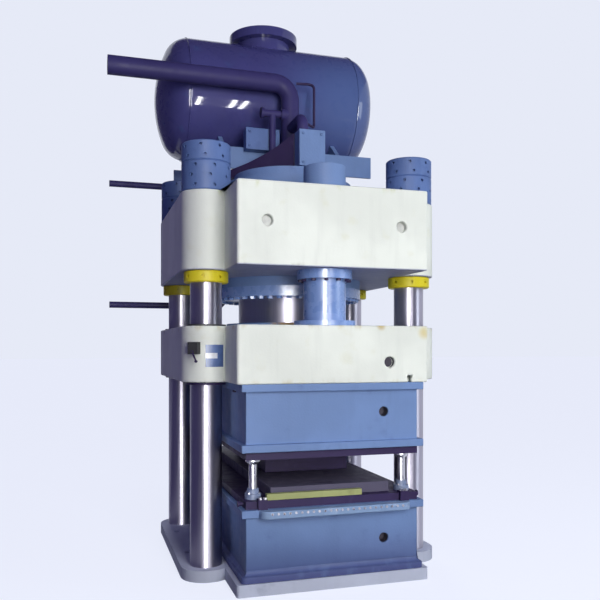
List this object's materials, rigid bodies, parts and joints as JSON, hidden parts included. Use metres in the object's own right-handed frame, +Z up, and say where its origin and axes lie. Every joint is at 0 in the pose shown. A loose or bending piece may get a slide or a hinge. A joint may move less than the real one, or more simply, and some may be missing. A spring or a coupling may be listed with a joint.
{
  "type": "hydraulic press",
  "caption": "Down-stroke column press with a cast crown and sliding beam, round column nuts, central ram, return rams, die boxes and a prefill tank on top.",
  "frame": {"origin": "middle of the bed plate's underside, on the floor", "axes": "+Z up along the columns and the slide's travel, -Y towards the front, +X to the right seen from the front"},
  "size_m": [2.675, 2.7099, 4.9336],
  "materials": {
    "cream_paint": "cream gloss enamel on castings",
    "blue_paint": "blue-grey enamel",
    "pale_blue_paint": "pale blue enamel",
    "nut_paint": "slate blue enamel",
    "navy_paint": "glossy navy enamel",
    "yellow_paint": "yellow enamel",
    "polished_steel": "ground and polished",
    "bright_steel": "turned, bare",
    "dark_steel": "oiled dark tool steel",
    "bar_paint": "pale yellow-green paint",
    "bronze": "plain bronze",
    "seal": "black",
    "switch_plastic": "black moulding"
  },
  "bodies": {
    "frame": {"bed_plate": "nut_paint", "column_front_left": "polished_steel", "column_front_right": "polished_steel", "column_rear_left": "polished_steel", "column_rear_right": "polished_steel", "lock_nuts": "yellow_paint", "lower_column_nuts": "nut_paint", "upper_column_nuts": "nut_paint", "crown": "cream_paint", "main_cylinder": "blue_paint", "cylinder_ring_nut": "blue_paint", "main_packing": "seal", "main_gland": "blue_paint", "main_gland_bolts": "blue_paint", "return_cylinder_front": "pale_blue_paint", "return_cylinder_rear": "pale_blue_paint", "return_packings": "seal", "return_gland_front": "blue_paint", "return_gland_rear": "blue_paint", "return_gland_bolts": "dark_steel", "lower_box": "blue_paint", "front_apron": "pale_blue_paint", "apron_rim_screws": "bright_steel", "lower_plate": "dark_steel", "lower_die": "dark_steel", "gauge_bar": "bar_paint", "stop_posts": "bright_steel", "post_collars": "nut_paint", "die_screws": "bright_steel", "lifting_pins": "dark_steel", "plate_clamps": "dark_steel", "tank": "navy_paint", "manhole_cover": "navy_paint", "manhole_bolts": "dark_steel", "tank_cradle": "pale_blue_paint", "prefill_valve": "blue_paint", "suction_spool": "navy_paint", "pressure_pipe": "navy_paint", "pilot_pipe": "navy_paint", "return_pipe": "navy_paint", "drain_pipe": "navy_paint", "pilot_block": "pale_blue_paint", "valve_bracket": "dark_steel", "valve_block": "pale_blue_paint", "block_elbow": "navy_paint"},
    "slide": {"slide": "cream_paint", "guide_bushes": "bronze", "wiper_rings": "seal", "bush_retainers": "dark_steel", "main_ram": "polished_steel", "ram_clamp_ring": "blue_paint", "ram_ring_screws": "dark_steel", "return_ram_front": "blue_paint", "return_ram_rear": "blue_paint", "upper_box": "blue_paint", "upper_box_bolts": "dark_steel", "upper_plate": "dark_steel", "upper_mould": "dark_steel", "limit_switch": "switch_plastic"},
    "switch_lever": {"switch_lever": "dark_steel"}
  },
  "joints": [
    {"name": "slide_travel", "type": "slide", "parent": "frame", "child": "slide", "axis": [0, 0, 1], "range_m": [0, 0.18]},
    {"name": "switch_lever_pivot", "type": "hinge", "parent": "slide", "child": "switch_lever", "pos_m": [-1.01715, -0.92889, 1.7595], "axis": [-0.5446, -0.8387, 0], "range_deg": [-25, 25], "stiffness_Nm_per_rad": 2}
  ]
}
